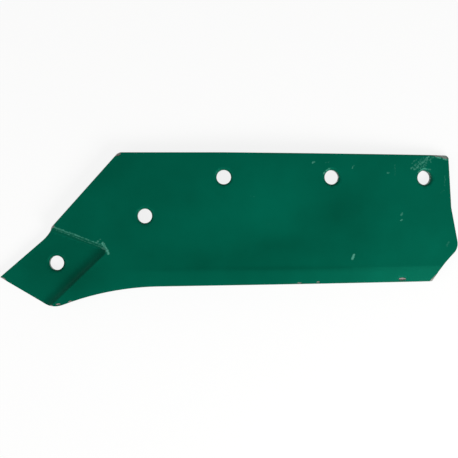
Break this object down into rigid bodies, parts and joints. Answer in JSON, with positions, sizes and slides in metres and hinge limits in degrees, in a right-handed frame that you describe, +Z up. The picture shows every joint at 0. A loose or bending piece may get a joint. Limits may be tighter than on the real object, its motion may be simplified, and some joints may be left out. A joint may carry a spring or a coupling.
{
  "type": "plough share",
  "caption": "Left-hand plough share: flat blade curved back at the heel, tapered cutting edge, and a pressed-back nose seat with an abutment step for a bolt-on point.",
  "frame": {"origin": "on the ground, under the middle of the share's bounding box as it lies on its back on three corners", "axes": "+X along the bolt row from the nose to the heel, +Y across the share from the cutting edge to the mouldboard edge, +Z up, out of the soil face"},
  "size_m": [0.5098, 0.1698, 0.0266],
  "materials": {
    "green_paint": "semi-gloss paint over forged boron steel, worn at the corners"
  },
  "bodies": {
    "root": {"share_blade": "green_paint"}
  },
  "joints": []
}
